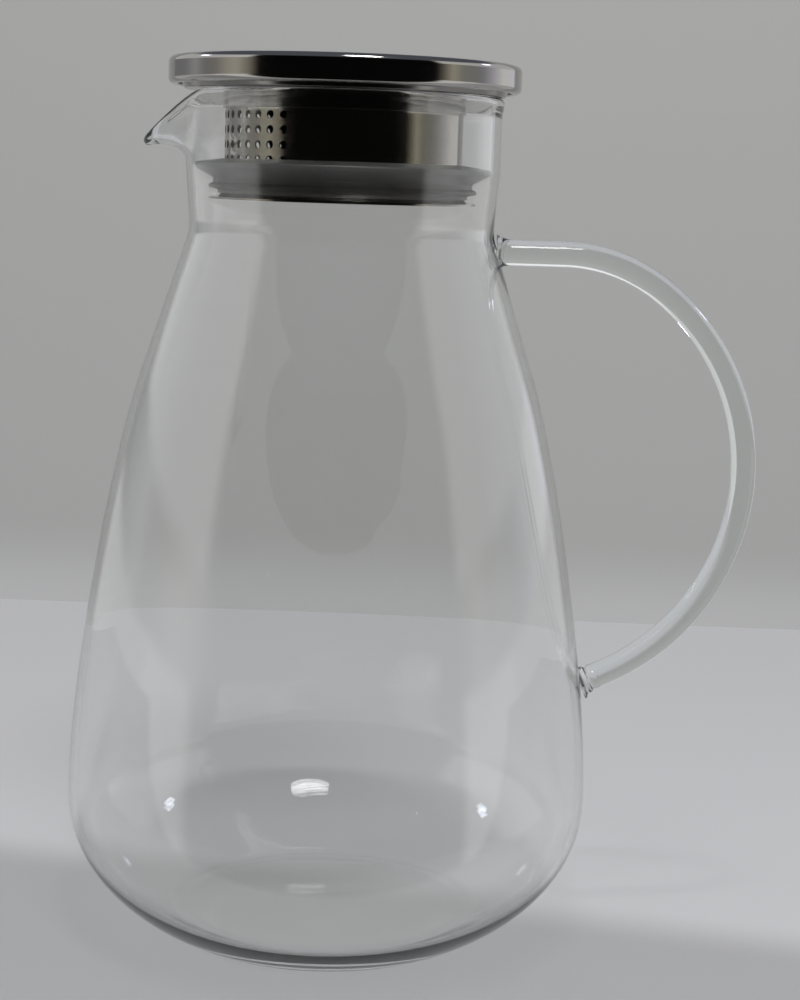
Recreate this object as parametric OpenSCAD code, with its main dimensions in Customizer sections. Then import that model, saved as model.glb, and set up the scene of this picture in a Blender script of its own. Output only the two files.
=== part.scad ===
// Glass pitcher with a steel strainer lid. The axis of the jug is Z and the table is z = 0.
// The handle points along +X and the spout along -X. All sizes are millimetres.

/* [Glass jug] */
// Outer diameter at the widest point
body_d = 140; // [120:1:165]
// Height of the widest point above the table
belly_z = 37; // [32:1:60]
// Height of the rim above the table
rim_z = 222; // [195:1:250]
// Outer diameter of the foot, where it meets the table
foot_d = 81.6; // [70:0.2:94]
// Radius of the rounded heel next to the foot
heel_round = 8.5; // [5:0.5:12]
// Outer diameter of the neck
neck_d = 81.8; // [74:0.2:90]
// Length of the neck, from the shoulder to the rim
neck_len = 36; // [30:0.5:45]
// Height of the tight curve between the shoulder and the neck
throat_len = 6; // [3:0.5:10]
// How far the shoulder leans in for each millimetre it rises
shoulder_lean = 0.33; // [0.25:0.01:0.45]
// Thickness of the glass wall
wall = 2; // [1.5:0.1:3]
// Thickness of the glass floor
floor_t = 3; // [2.6:0.1:5]
// Rise of the pushed-up middle of the base
kick_h = 1.6; // [1:0.1:4]
// Width of the flat ring that stands on the table
foot_ring_w = 3.5; // [2:0.5:8]
// Thickness of the fire-polished bead at the rim
rim_bead_t = 2.5; // [2.1:0.1:3.4]

/* [Spout] */
// How far the tip of the spout stands out from the neck
spout_reach = 11; // [7:0.5:15]
// Drop from the rim down to the tip of the spout
spout_drop = 12; // [9:0.5:14]
// Height over which the neck wall turns into the spout
spout_rise = 18.5; // [17:0.5:22]
// Half of the angle of the rim that is pulled into the spout
spout_half_angle = 36; // [28:1:44]
// Sharpness of the spout, seen from above
spout_point = 1.7; // [1.2:0.1:2.4]

/* [Handle] */
// Diameter of the glass rod
rod_d = 6.8; // [5.5:0.1:9]
// Depth of the upper joint below the rim
handle_drop = 39.3; // [36:0.5:44]
// Height of the bend, from the upper straight to the lower joint
handle_span = 116; // [100:1:124]
// Length of the upper straight, from the neck to the bend
handle_stub = 18; // [14:0.5:26]
// Distance over which the rod flares into the wall at each joint
flare_len = 5; // [3:0.5:7]
// Extra radius of the rod where it meets the wall
flare_grow = 2.4; // [1:0.1:3.5]

/* [Lid] */
// How far the cap stands out past the neck
cap_overhang = 4.7; // [3:0.1:8]
// Height of the cap
cap_h = 7.1; // [6:0.1:10]
// Thickness of the steel sheet of the cap and the underplate
sheet = 0.6; // [0.5:0.05:0.8]
// Radius of the shoulder of the cap
cap_round = 1.6; // [1.2:0.1:2.4]
// Radius of the fold at the foot of the cap
hem_round = 1.5; // [1:0.05:1.8]
// Width of the hem under the cap
hem_w = 2.3; // [1.9:0.1:3]
// Height of the cap's hem above the underplate's seat
seat_drop = 1; // [0.8:0.1:2]
// Height of the collar below the underplate's seat
collar_h = 4.4; // [3:0.1:5]

/* [Strainer] */
// Distance from the inside of the neck in to the band
band_inset = 8; // [6.6:0.1:11]
// Thickness of the band
band_t = 0.5; // [0.4:0.05:0.8]
// Length of the band below the underplate's seat
band_len = 27.6; // [26:0.2:31]
// How far the flare at the foot of the band stands out from it
flare_w = 4; // [3:0.1:5.5]
// Height of the flare
flare_h = 1.8; // [1.2:0.1:2.6]
// Diameter of a strainer hole
hole_d = 2.1; // [1.6:0.1:2.6]
// Number of columns of holes
hole_cols = 18; // [10:1:22]
// Number of rows of holes
hole_rows = 4; // [2:1:4]
// Distance from one row of holes to the next
hole_pitch = 3.7; // [3.2:0.1:4]
// Angle from one column of holes to the next
hole_step = 7.2; // [6:0.1:8]
// Depth of the first row of holes below the underplate's seat
hole_top = 6.4; // [5.8:0.1:7]

/* [Seal] */
// Gap between the wide lip of the seal and the neck
lip_gap = 0.35; // [0.2:0.05:0.8]
// Height of the seal
seal_h = 8.8; // [8:0.1:10.5]
// Thickness of the wide lip at its edge
lip_t = 1.3; // [0.8:0.1:1.8]
// Thickness of the seal at the waist under the wide lip
waist_w = 2.8; // [2:0.1:3.6]
// Width of the small lower lip, from the bore of the seal
low_lip_w = 3.9; // [3.2:0.1:5]
// Running gap between the seal and the band
band_gap = 0.1; // [0.05:0.01:0.2]
// Gap between the foot of the seal and the flare of the band
foot_gap = 0.3; // [0.2:0.05:0.6]

/* [Hidden] */

// Shared measures
overrun = 1; // how far a cutting shape runs past the solid that it cuts
turn_n = 120; // facets round the jug, the lid and the seal
rod_n = 32; // facets round the handle's rod
bend_n = 96; // facets round a whole turn of the handle's bends
hole_n = 24; // facets round a strainer hole
arc_steps = 6; // chords in a rounded corner of a profile
curve_steps = 11; // chords in each long curve of the jug
throat_steps = 4; // chords in the curve between the shoulder and the neck
side = 180; // direction of the spout about the jug's axis

// The jug's outline, with its curves given by control points set as shares of its sizes
body_r = body_d / 2;
foot_r = foot_d / 2;
neck_r = neck_d / 2;
throat_z = rim_z - neck_len; // where the shoulder would meet the neck
throat_in = 1.1; // how much narrower the throat is than the rim
throat_r = neck_r - throat_in;
throat_top = throat_z + throat_len / 2;
spout_z = rim_z - spout_rise; // where the wall starts to turn into the spout
heel_lean = 28; // slope of the side where it leaves the rounded heel, in degrees
heel_steps = 5; // chords in the rounded heel
heel_low_share = 0.53; // first control point, as a share of heel to belly
heel_high_share = 0.52; // second control point, as a share of the belly's height
side_end_share = 0.76; // end of the curved side, as a share of belly to throat
side_low_share = 0.23; // first control point of the side, as a share of its height
side_high_share = 0.23; // second control point of the side, as a share of its height
lower_side_z = belly_z + side_end_share * (throat_z - belly_z);
side_h = lower_side_z - belly_z;

// A point of the cubic curve with the control points a, b, c and d
function bezier(a, b, c, d, t) =
    pow(1 - t, 3) * a + 3 * t * pow(1 - t, 2) * b + 3 * t * t * (1 - t) * c + pow(t, 3) * d;
// The curve as a list of points, without its last one
function curve(a, b, c, d, n) = [for (i = [0 : n - 1]) bezier(a, b, c, d, i / n)];
// Points of a circular arc about c, from angle a0 to a1
function arc(c, r, a0, a1, n = arc_steps) =
    [for (i = [0 : n]) let (a = a0 + (a1 - a0) * i / n) c + r * [cos(a), sin(a)]];
function unit(v) = v / norm(v);
function mix(a, b, t) = (1 - t) * a + t * b;
// The radius of the shoulder's straight part at a height
function shoulder_r(z) = throat_r + shoulder_lean * (throat_z - z);

heel_c = [foot_r, heel_round];
round_pts = [for (i = [0 : heel_steps - 1]) let (a = heel_lean * i / heel_steps)
             heel_c + heel_round * [sin(a), -cos(a)]];
heel_pt = heel_c + heel_round * [sin(heel_lean), -cos(heel_lean)];
belly_pt = [body_r, belly_z];
heel_reach = heel_low_share * (body_r - heel_pt[0]);
heel_pts = curve(heel_pt, heel_pt + heel_reach * [cos(heel_lean), sin(heel_lean)],
                 belly_pt - [0, heel_high_share * (belly_z - heel_pt[1])], belly_pt, curve_steps);
side_pt = [shoulder_r(lower_side_z), lower_side_z];
side_pts = curve(belly_pt, belly_pt + [0, side_low_share * side_h],
                 side_pt + side_high_share * side_h * [shoulder_lean, -1], side_pt, curve_steps);
throat_foot = throat_z - throat_len / 2;
throat_pts = curve([shoulder_r(throat_foot), throat_foot], [throat_r, throat_z],
                   [throat_r, throat_z], [throat_r, throat_top], throat_steps);
outer_pts = concat(round_pts, heel_pts, side_pts, [side_pt], throat_pts,
                   [[throat_r, throat_top]]);
last_pt = len(outer_pts) - 1;

// The glass thickens toward the foot, from the wall at the belly to the floor
foot_thickening = 3; // how late it thickens: 1 is evenly, and more is closer to the foot
function glass_t(z) =
    z >= belly_z ? wall : mix(wall, floor_t, pow(1 - z / belly_z, foot_thickening));
// The direction along the outline at each of its points
function along(i) = unit(outer_pts[min(i + 1, last_pt)] - outer_pts[max(i - 1, 0)]);
// The inner wall: each outer point moved in, square to the outline
function inner_pt(i) = let (u = along(i), p = outer_pts[i]) p + glass_t(p[1]) * [-u[1], u[0]];
inner_pts = [for (i = [last_pt : -1 : 0]) inner_pt(i)];
floor_pt = inner_pts[len(inner_pts) - 1];
ring_r = foot_r - foot_ring_w;
dome_steps = 5;
dome_flat = 0.15; // share of each dome that is flat in the middle
// A height on a shallow dome, from its top in the middle to its edge at s = 1
function dome(top, edge, s) = mix(top, edge, pow(max(0, s - dome_flat) / (1 - dome_flat), 2));
dome_shares = concat([0, dome_flat], [for (i = [1 : dome_steps]) mix(dome_flat, 1, i / dome_steps)]);
// The floor and the pushed-up base below it, as two domes
floor_pts = [for (i = [dome_steps : -1 : 0]) let (s = dome_shares[i])
             [s * floor_pt[0], dome(kick_h + floor_t, floor_pt[1], s)]];
base_pts = [for (s = dome_shares) [s * ring_r, dome(kick_h, 0, s)]];

// The spout. A section of the rim is a wall that follows a centre line up to a round bead.
// The centre line is upright away from the spout and turned out at the middle of the spout.
bead_r = rim_bead_t / 2;
mid_r = neck_r - wall / 2;
thinning = 0.15; // how much thinner the pulled glass is on each face
root_sink = 0.8; // how deep the pulled glass is rooted in the plain wall below it
root_turn = 1; // how far its sides run into the plain rim, in degrees about the axis
wall_steps = 10; // chords along the centre line
spout_steps = 32; // sections across the spout
bead_steps = 6; // chords round the bead
bead_share = 0.2; // share of the centre line over which the wall thickens to the bead
bend_up_share = 0.85; // how much of its rise the spout makes before it turns out
bend_out_share = 0.5; // how far out the spout has gone when it is nearly level
tip_lift_share = 0.08; // how much the floor of the spout rises above its tip
tip = [neck_r + spout_reach - bead_r, rim_z - spout_drop - bead_r];
tip_rise = tip[1] - spout_z;
tip_run = tip[0] - mid_r;
lip = [mid_r + bead_r - wall / 2, rim_z - bead_r];
upright = [for (i = [0 : wall_steps]) let (t = i / wall_steps)
           [t < 1 - bead_share ? mid_r : mix(mid_r, lip[0], (t - 1 + bead_share) / bead_share),
            mix(spout_z, lip[1], t)]];
turned = [for (i = [0 : wall_steps])
          bezier([mid_r, spout_z], [mid_r, spout_z + bend_up_share * tip_rise],
                 tip + [-bend_out_share * tip_run, tip_lift_share * tip_rise], tip,
                 i / wall_steps)];
// How far a section is pulled into the spout, from 0 at its sides to 1 at its middle
function pull(a) =
    abs(a) >= spout_half_angle ? 0 : pow(pow(cos(90 * a / spout_half_angle), 2), spout_point);
// Half of the wall's thickness along the centre line
function half_t(t) = mix(wall / 2, bead_r, max(0, (t - 1 + bead_share) / bead_share));
function centre(i, w) = mix(upright[i], turned[i], w);
function lean_at(i, w) =
    i == 0 ? [0, 1] : unit(centre(min(i + 1, wall_steps), w) - centre(i - 1, w));
// A wall point on the outer (s = 1) or inner (s = -1) face, with the glass thinner by less
function wall_pt(i, w, s, less) =
    let (u = lean_at(i, w)) centre(i, w) + s * (half_t(i / wall_steps) - less) * [u[1], -u[0]];
function bead_pt(k, w, less) =
    let (u = lean_at(wall_steps, w), a = 90 - 180 * k / bead_steps)
    centre(wall_steps, w) + (bead_r - less) * (sin(a) * [u[1], -u[0]] + cos(a) * u);
// The outline of a section: up the outside, round the bead and down the inside
function rim_section(w, less = 0) = concat(
    [for (i = [0 : wall_steps]) wall_pt(i, w, 1, less)],
    [for (k = [1 : bead_steps - 1]) bead_pt(k, w, less)],
    [for (i = [wall_steps : -1 : 0]) wall_pt(i, w, -1, less)]);
// A section of the pulled glass, with its foot reaching down into the plain wall
function pulled_section(w) =
    let (s = rim_section(w, thinning), foot = [0, root_sink])
    [for (i = [0 : section_n - 1]) i == 0 || i == section_n - 1 ? s[i] - foot : s[i]];
section_n = 2 * wall_steps + 1 + bead_steps;

// The handle: a straight, a tight bend, a wide bend and a second straight into the side
rod_r = rod_d / 2;
bend_turn = 52; // where the tight bend meets the wide one, in degrees above level
bend_end = -64; // where the wide bend ends, in degrees above level
tight_share = 0.38; // radius of the tight bend, as a share of the handle's height
wide_share = 0.526; // radius of the wide bend, as a share of the handle's height
handle_z = rim_z - handle_drop;
tight_r = tight_share * handle_span;
wide_r = wide_share * handle_span;
tight_c = [neck_r + handle_stub, handle_z - tight_r];
wide_c = tight_c + (tight_r - wide_r) * [cos(bend_turn), sin(bend_turn)];
bend_pt = wide_c + wide_r * [cos(bend_end), sin(bend_end)];
end_dir = [-sin(-bend_end), -cos(bend_end)]; // down and in, along the second straight
outline_table = [for (p = outer_pts) [p[1], p[0]]];
function glass_r(z) = lookup(z, outline_table);
// The outer radius of the neck at a height between the throat and the spout
function neck_at(z) =
    mix(throat_r, neck_r, min(1, max(0, (z - throat_top) / (spout_z - throat_top))));
// The point where the second straight meets the side, found by closing in on it
meet_steps = 12;
function meet(s, n) =
    n == 0 ? s : let (p = bend_pt + s * end_dir) meet(s + (p[0] - glass_r(p[1])) / -end_dir[0], n - 1);
end_len = meet(0, meet_steps);
low_joint = bend_pt + end_len * end_dir;
high_joint = [glass_r(handle_z), handle_z];
flare_steps = 8;
flare_sink = 1.5 * rod_d; // how deep the flare runs into the wall before it is cut off
knuckle_gap = 0.1; // how far each length of the rod stops short of where it meets the next
knuckle_skin = 0.03; // how much thicker than the rod the ball is that joins two lengths

// The lid, stacked up from the rim
seat_gap = 0.2; // play between the rim and the lid's seat
seat_z = rim_z + seat_gap;
hem_z = seat_z + seat_drop;
hem_t = 2 * sheet; // the hem is the sheet folded back on itself
cap_r = neck_r + cap_overhang;
cap_top = hem_z + cap_h;
rim_play = 0.5; // how far the underplate's seat runs out past the rim
slot_w = 0.8; // groove between the hem and the underplate
tray_gap = 0.05; // play of the underplate inside the cap
seat_r = neck_r + rim_play;
slope_r = cap_r - hem_w - slot_w;
tray_r = cap_r - sheet - tray_gap;
tray_z = hem_z + hem_t;
weld_gap = 0.05; // play between the collar and the band before they are welded
band_r = neck_r - wall - band_inset;
collar_in = band_r + weld_gap;
collar_out = collar_in + sheet;
collar_bend = 1; // outer radius of the bend from the seat into the collar

// The strainer band and its flare
band_in = band_r - band_t;
flare_r = band_r + flare_w;
flare_z = seat_z - band_len;
flare_chords = 8;
hole_z = seat_z - hole_top;

// The seal, stacked up from the flare
bore_r = band_r + band_gap;
foot_lip_t = 0.9; // height of the plain foot below the small lip
low_lip_t = 0.8; // thickness of the small lip at its edge
low_slope = 0.5; // rise of the small lip's faces toward the band
waist_h = 1.2; // height of the waist
heel_w = 1.5; // width of the seal's foot outside its bore
bevel = 0.9; // bevel that clears the curve of the flare
tip_drop_share = 0.12; // drop of the wide lip's top toward its edge, as a share of the seal
seal_z = flare_z + band_t + flare_h * (1 - sin(acos(1 - (bevel + band_gap) / (flare_r - band_r))))
    + foot_gap;
seal_top = seal_z + seal_h;
lip_top = seal_top - tip_drop_share * seal_h;
lip_r = neck_at(lip_top - lip_t) - wall - lip_gap;
lip_under = -70; // where the rounded edge of the wide lip starts, in degrees above level
lip_over = 80; // where it ends

// The jug filled to its axis, used to trim what is fused on to its outside
module glass_solid() {
    rotate_extrude($fn = turn_n)
    polygon(concat([[0, 0]], outer_pts, [[neck_r, spout_z], [0, spout_z]]));
}

// The vessel, with a window in its rim where the spout goes
module vessel() {
    window_in = neck_r - wall - overrun;
    window_out = neck_r + overrun;
    difference() {
        rotate_extrude($fn = turn_n)
        polygon(concat(base_pts, outer_pts, rim_section(0), inner_pts, floor_pts));
        rotate_extrude(start = side - spout_half_angle, angle = 2 * spout_half_angle, $fn = turn_n)
        polygon([[window_in, spout_z], [window_out, spout_z], [window_out, rim_z + overrun],
                 [window_in, rim_z + overrun]]);
    }
}

// The pulled part of the rim: sections of the rim, each pulled out by its own share
module spout() {
    n = section_n;
    reach = spout_half_angle + root_turn;
    sections = [for (k = [0 : spout_steps])
        let (a = reach * (2 * k / spout_steps - 1))
        [for (p = pulled_section(pull(a))) [p[0] * cos(side + a), p[0] * sin(side + a), p[1]]]];
    walls = [for (k = [0 : spout_steps - 1], i = [0 : n - 1])
        let (a = k * n + i, b = k * n + (i + 1) % n) each [[a, b, b + n], [a, b + n, a + n]]];
    rungs = [for (i = [0 : wall_steps - 1]) [i, n - 1 - i, n - 2 - i, i + 1]];
    end = concat(rungs, [[for (i = [wall_steps + bead_steps : -1 : wall_steps]) i]]);
    far_end = [for (f = end) [for (i = [len(f) - 1 : -1 : 0]) spout_steps * n + f[i]]];
    polyhedron([for (s = sections) each s], concat(walls, end, far_end));
}

module glass_body() {
    color([0.86, 0.93, 0.9, 0.35]) {
        vessel();
        spout();
    }
}

// A bend of the handle's rod in the plane of the handle, from angle a0 to a1 about c
module rod_bend(c, r, a0, a1) {
    short = knuckle_gap / r * 180 / PI;
    translate([c[0], 0, c[1]])
    rotate([90, 0, 0])
    rotate_extrude(start = a0 + short, angle = a1 - a0 - 2 * short, $fn = bend_n)
    translate([r, 0])
    circle(rod_r, $fn = rod_n);
}

// A straight of the rod that leaves the joint at lean degrees above level, with its flare
module rod_straight(joint, lean, length) {
    flare_pts = [for (i = [0 : flare_steps]) let (s = i / flare_steps)
                 [rod_r + flare_grow * pow(1 - s, 2), s * flare_len]];
    translate([joint[0], 0, joint[1]])
    rotate([0, 90 - lean, 0]) {
        cylinder(r = rod_r, h = length - knuckle_gap, $fn = rod_n);
        rotate_extrude($fn = rod_n)
        polygon(concat([[0, -flare_sink], [rod_r + flare_grow, -flare_sink]], flare_pts,
                       [[0, flare_len]]));
    }
}

// Where two lengths of the rod meet
module knuckle(p) {
    translate([p[0], 0, p[1]])
    sphere(rod_r + knuckle_skin, $fn = rod_n);
}

module glass_handle() {
    color([0.84, 0.92, 0.88, 0.5])
    difference() {
        union() {
            rod_straight(high_joint, 0, tight_c[0] - high_joint[0]);
            knuckle(tight_c + [0, tight_r]);
            rod_bend(tight_c, tight_r, bend_turn, 90);
            knuckle(tight_c + tight_r * [cos(bend_turn), sin(bend_turn)]);
            rod_bend(wide_c, wide_r, bend_end, bend_turn);
            knuckle(bend_pt);
            rod_straight(low_joint, 90 + bend_end, end_len);
        }
        glass_solid();
    }
}

module lid_cap() {
    skin = concat([[0, cap_top]], arc([cap_r - cap_round, cap_top - cap_round], cap_round, 90, 0),
                  arc([cap_r - hem_round, hem_z + hem_round], hem_round, 0, -90));
    hem = [[cap_r - hem_w, hem_z], [cap_r - hem_w, tray_z], [cap_r - sheet, tray_z]];
    lining = concat(arc([cap_r - cap_round, cap_top - cap_round], cap_round - sheet, 0, 90),
                    [[0, cap_top - sheet]]);
    color([0.72, 0.71, 0.69])
    rotate_extrude($fn = turn_n)
    polygon(concat(skin, hem, lining));
}

module lid_underplate() {
    bend_c = [collar_out + collar_bend, seat_z - collar_bend];
    below = concat([[tray_r, tray_z], [slope_r, tray_z], [seat_r, seat_z]],
                   arc(bend_c, collar_bend, 90, 180), [[collar_out, seat_z - collar_h]]);
    above = concat([[collar_in, seat_z - collar_h]], arc(bend_c, collar_bend + sheet, 180, 90),
                   [[seat_r - sheet / 2, seat_z + sheet], [slope_r - sheet / 2, tray_z + sheet],
                    [tray_r, tray_z + sheet]]);
    color([0.66, 0.65, 0.63])
    rotate_extrude($fn = turn_n)
    polygon(concat(below, above));
}

// The plain band with its flare, as one bent sheet
module band() {
    spread = flare_r - band_r;
    above = [for (i = [0 : flare_chords]) let (a = 90 * i / flare_chords)
             [band_r + spread * (1 - cos(a)), flare_z + band_t + flare_h * (1 - sin(a))]];
    below = [for (i = [flare_chords : -1 : 0]) let (a = 90 * i / flare_chords)
             [band_in + (spread + band_t) * (1 - cos(a)), flare_z + flare_h * (1 - sin(a))]];
    rotate_extrude($fn = turn_n)
    polygon(concat([[band_in, seat_z], [band_r, seat_z]], above, below));
}

module strainer() {
    color([0.7, 0.69, 0.67])
    difference() {
        band();
        for (c = [0 : hole_cols - 1], r = [0 : hole_rows - 1])
            rotate([0, 0, side + (c - (hole_cols - 1) / 2) * hole_step])
            translate([band_in - overrun, 0, hole_z - r * hole_pitch])
            rotate([0, 90, 0])
            cylinder(d = hole_d, h = band_t + 2 * overrun, $fn = hole_n);
    }
}

module seal_ring() {
    waist_r = bore_r + waist_w;
    low_lip_r = bore_r + low_lip_w;
    low_z = seal_z + foot_lip_t;
    waist_z = low_z + low_lip_t + 2 * low_slope;
    foot = [[bore_r, seal_z + bevel], [bore_r + bevel, seal_z], [bore_r + heel_w, seal_z],
            [bore_r + heel_w, low_z]];
    low_lip = [[low_lip_r, low_z + low_slope], [low_lip_r, low_z + low_slope + low_lip_t]];
    neck = [[waist_r, waist_z], [waist_r, waist_z + waist_h]];
    edge = arc([lip_r - lip_t / 2, lip_top - lip_t / 2], lip_t / 2, lip_under, lip_over);
    color([0.62, 0.62, 0.62])
    rotate_extrude($fn = turn_n)
    polygon(concat(foot, low_lip, neck, edge, [[bore_r, seal_top]]));
}

glass_body();
glass_handle();
lid_cap();
lid_underplate();
strainer();
seal_ring();
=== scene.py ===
# %% [markdown]
# # Glass pitcher with a steel strainer lid
#
# A blown glass jug with a pulled spout and a bent rod handle, closed by a pressed steel lid
# that carries a perforated strainer sleeve and a lipped silicone seal. Each piece is drawn as a
# smooth surface of two parameters, from the same measures as the solid model, because glass
# and polished steel show every facet.

# %%
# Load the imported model
import math
import bmesh
import bpy
import numpy as np
from mathutils import Matrix, Vector


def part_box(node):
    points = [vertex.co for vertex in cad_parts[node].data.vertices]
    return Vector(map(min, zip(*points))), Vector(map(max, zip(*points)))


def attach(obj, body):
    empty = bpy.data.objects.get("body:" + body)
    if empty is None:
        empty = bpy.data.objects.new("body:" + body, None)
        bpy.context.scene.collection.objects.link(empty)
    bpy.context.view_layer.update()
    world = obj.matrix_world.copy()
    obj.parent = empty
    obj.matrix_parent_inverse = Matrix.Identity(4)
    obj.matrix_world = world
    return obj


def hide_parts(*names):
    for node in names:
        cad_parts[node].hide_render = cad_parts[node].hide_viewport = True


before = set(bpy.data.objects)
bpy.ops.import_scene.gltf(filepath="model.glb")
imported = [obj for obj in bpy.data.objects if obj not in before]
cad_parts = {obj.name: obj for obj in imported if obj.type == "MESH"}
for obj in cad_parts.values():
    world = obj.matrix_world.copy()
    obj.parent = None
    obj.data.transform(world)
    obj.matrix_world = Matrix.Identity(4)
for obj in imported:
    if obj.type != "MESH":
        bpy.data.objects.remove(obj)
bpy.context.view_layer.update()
MM = 0.001
print("nodes:", ", ".join(sorted(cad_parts)))

# %% [markdown]
# ## Tools for surfaces
# Every piece here is either turned about the jug's axis, like the lid, or carried along a
# path, like the handle. Both are grids of points, so one function joins a grid into a mesh.
# It could be done with Blender's Screw and curve tools, but a grid keeps each point's place
# exact and lets the spout change the profile from one azimuth to the next.

# %%
# Curves in the plane
def bezier(a, b, c, d, n):
    """n points of the cubic P(t) = (1-t)^3 a + 3t(1-t)^2 b + 3t^2(1-t) c + t^3 d."""
    t = np.linspace(0, 1, n)[:, None]
    a, b, c, d = (np.asarray(p, float) for p in (a, b, c, d))
    return (1 - t) ** 3 * a + 3 * t * (1 - t) ** 2 * b + 3 * t ** 2 * (1 - t) * c + t ** 3 * d


def arc(centre, r, a0, a1, n):
    """n points of C + r (cos a, sin a), with a from a0 to a1 in degrees."""
    a = np.radians(np.linspace(a0, a1, n))[:, None]
    return np.asarray(centre, float) + r * np.hstack([np.cos(a), np.sin(a)])


def unit(v):
    """Each vector divided by its length."""
    return v / np.linalg.norm(v, axis=-1, keepdims=True)


def tangents(p):
    """Unit directions along a row of points, by central differences."""
    return unit(np.gradient(p, axis=0))


# %%
# Profiles with rounded corners
guard = 0.12 * MM


def fillet(before, corner, after, r, n=7):
    """An arc of radius r that touches both sides of a corner.

    Its ends lie r / tan(h) from the corner and its centre r / sin(h), where h is half of the
    corner's angle. A guard point past each end keeps the flat sides flat in shading.
    """
    a, b = unit(before - corner), unit(after - corner)
    h = math.acos(np.clip(a @ b, -1, 1)) / 2
    start, end = corner + a * r / math.tan(h), corner + b * r / math.tan(h)
    centre = corner + unit(a + b) * r / math.sin(h)
    t = np.linspace(0, 1, n)[:, None]
    sweep = math.pi - 2 * h
    bow = (np.sin((1 - t) * sweep) * (start - centre) + np.sin(t * sweep) * (end - centre))
    bow = centre + bow / math.sin(sweep)
    return np.vstack([start + a * guard, bow, end + b * guard])


def rounded(corners, radii, closed=True):
    """The corners as one profile, each rounded by its own radius, or kept where that is 0."""
    p = np.asarray(corners, float)
    row = []
    for i, r in enumerate(radii):
        sharp = r == 0 or (not closed and i in (0, len(p) - 1))
        row.append(p[i:i + 1] if sharp else fillet(p[i - 1], p[i], p[(i + 1) % len(p)], r))
    return np.vstack(row)


# %%
# Grids into meshes
def mesh_object(name, points, faces):
    """A smooth mesh object at the origin, with its faces turned outwards.

    The faces enclose the sum of p0 . (p1 x p2 + p2 x p3) / 6. Where that is negative they
    point inwards, so each is listed backwards.
    """
    p = points[faces]
    volume = np.einsum("ij,ij->", p[:, 0], np.cross(p[:, 1], p[:, 2]) + np.cross(p[:, 2], p[:, 3]))
    if volume < 0:
        faces = faces[:, ::-1]
    mesh = bpy.data.meshes.new(name)
    mesh.from_pydata(points.tolist(), [], faces.tolist())
    shape = bmesh.new()
    shape.from_mesh(mesh)
    bmesh.ops.remove_doubles(shape, verts=shape.verts, dist=1e-7)
    shape.to_mesh(mesh)
    shape.free()
    mesh.shade_smooth()
    piece = bpy.data.objects.new(name, mesh)
    bpy.context.collection.objects.link(piece)
    print(name, "-", len(mesh.polygons), "faces,", round(abs(volume) / 6 * 1e6, 2), "ml")
    return piece


def grid_quads(m, n, wrap_rows=True, wrap_columns=False):
    """Corner numbers of the quads of an m by n grid, as an array (rows, columns, 4)."""
    rows = np.arange(m if wrap_rows else m - 1)[:, None]
    cols = np.arange(n if wrap_columns else n - 1)[None, :]
    down, right = (rows + 1) % m, (cols + 1) % n
    return np.stack([rows * n + cols, down * n + cols, down * n + right, rows * n + right], -1)


def spin(profile, turns):
    """The grid (r cos a, r sin a, z) of a profile (r, z) turned to each azimuth a."""
    a = turns[:, None]
    r, z = profile[None, :, 0], profile[None, :, 1]
    return np.stack([r * np.cos(a), r * np.sin(a), z + 0 * a], -1)


def turned_piece(name, profile, closed=True, turn_count=240):
    """A piece turned from a profile that is closed, or that starts and ends on the axis."""
    turns = np.linspace(0, 2 * np.pi, turn_count, endpoint=False)
    grid = spin(profile, turns)
    quads = grid_quads(len(turns), len(profile), True, closed)
    return mesh_object(name, grid.reshape(-1, 3), quads.reshape(-1, 4))


# %% [markdown]
# ## The jug's outline
# The jug is blown, so its wall is one curve from the base to the rim. The outer profile climbs
# from a narrow ring on the table over the rounded heel, the belly, the shoulder and the throat
# to the root of the spout. The inner one follows it at the thickness of the glass, which grows
# toward the foot, where the hot glass gathers.

# %%
# Measures of the jug
_, glass_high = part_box("glass_body")
rim_z = glass_high[2]
body_r = 70 * MM
belly_z = 37 * MM
foot_r = 40.8 * MM
heel_round = 8.5 * MM
neck_r = 40.9 * MM
neck_len = 36 * MM
throat_len = 6 * MM
throat_in = 1.1 * MM
shoulder_lean = 0.33
wall = 2 * MM
floor_t = 3 * MM
kick_h = 1.6 * MM
foot_ring_w = 3.5 * MM
heel_lean = math.radians(28)
heel_low_share = 0.53
heel_high_share = 0.52
side_end_share = 0.76
side_low_share = 0.23
side_high_share = 0.23
spout_rise = 18.5 * MM

throat_z = rim_z - neck_len
throat_r = neck_r - throat_in
spout_z = rim_z - spout_rise
side_top_z = belly_z + side_end_share * (throat_z - belly_z)
print("jug:", round(2 * body_r, 4), "m wide and", round(rim_z, 4), "m high")

# %%
# The outer profile
def shoulder_r(z):
    """Radius of the straight shoulder: r = throat_r + lean (throat_z - z)."""
    return throat_r + shoulder_lean * (throat_z - z)


slope = np.array([math.cos(heel_lean), math.sin(heel_lean)])
heel_pt = np.array([foot_r, heel_round]) + heel_round * np.array([slope[1], -slope[0]])
belly_pt = np.array([body_r, belly_z])
side_pt = np.array([shoulder_r(side_top_z), side_top_z])
side_h = side_top_z - belly_z
foot_arc = arc([foot_r, heel_round], heel_round, -90, math.degrees(heel_lean) - 90, 14)
heel = bezier(heel_pt, heel_pt + heel_low_share * (body_r - heel_pt[0]) * slope,
              belly_pt - [0, heel_high_share * (belly_z - heel_pt[1])], belly_pt, 60)
flank = bezier(belly_pt, belly_pt + [0, side_low_share * side_h],
               side_pt + side_high_share * side_h * np.array([shoulder_lean, -1]), side_pt, 70)
half = throat_len / 2
throat = bezier([shoulder_r(throat_z - half), throat_z - half], [throat_r, throat_z],
                [throat_r, throat_z], [throat_r, throat_z + half], 24)
shoulder = np.linspace(side_pt, throat[0], 16)
neck = np.linspace(throat[-1], [neck_r, spout_z], 12)
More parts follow.
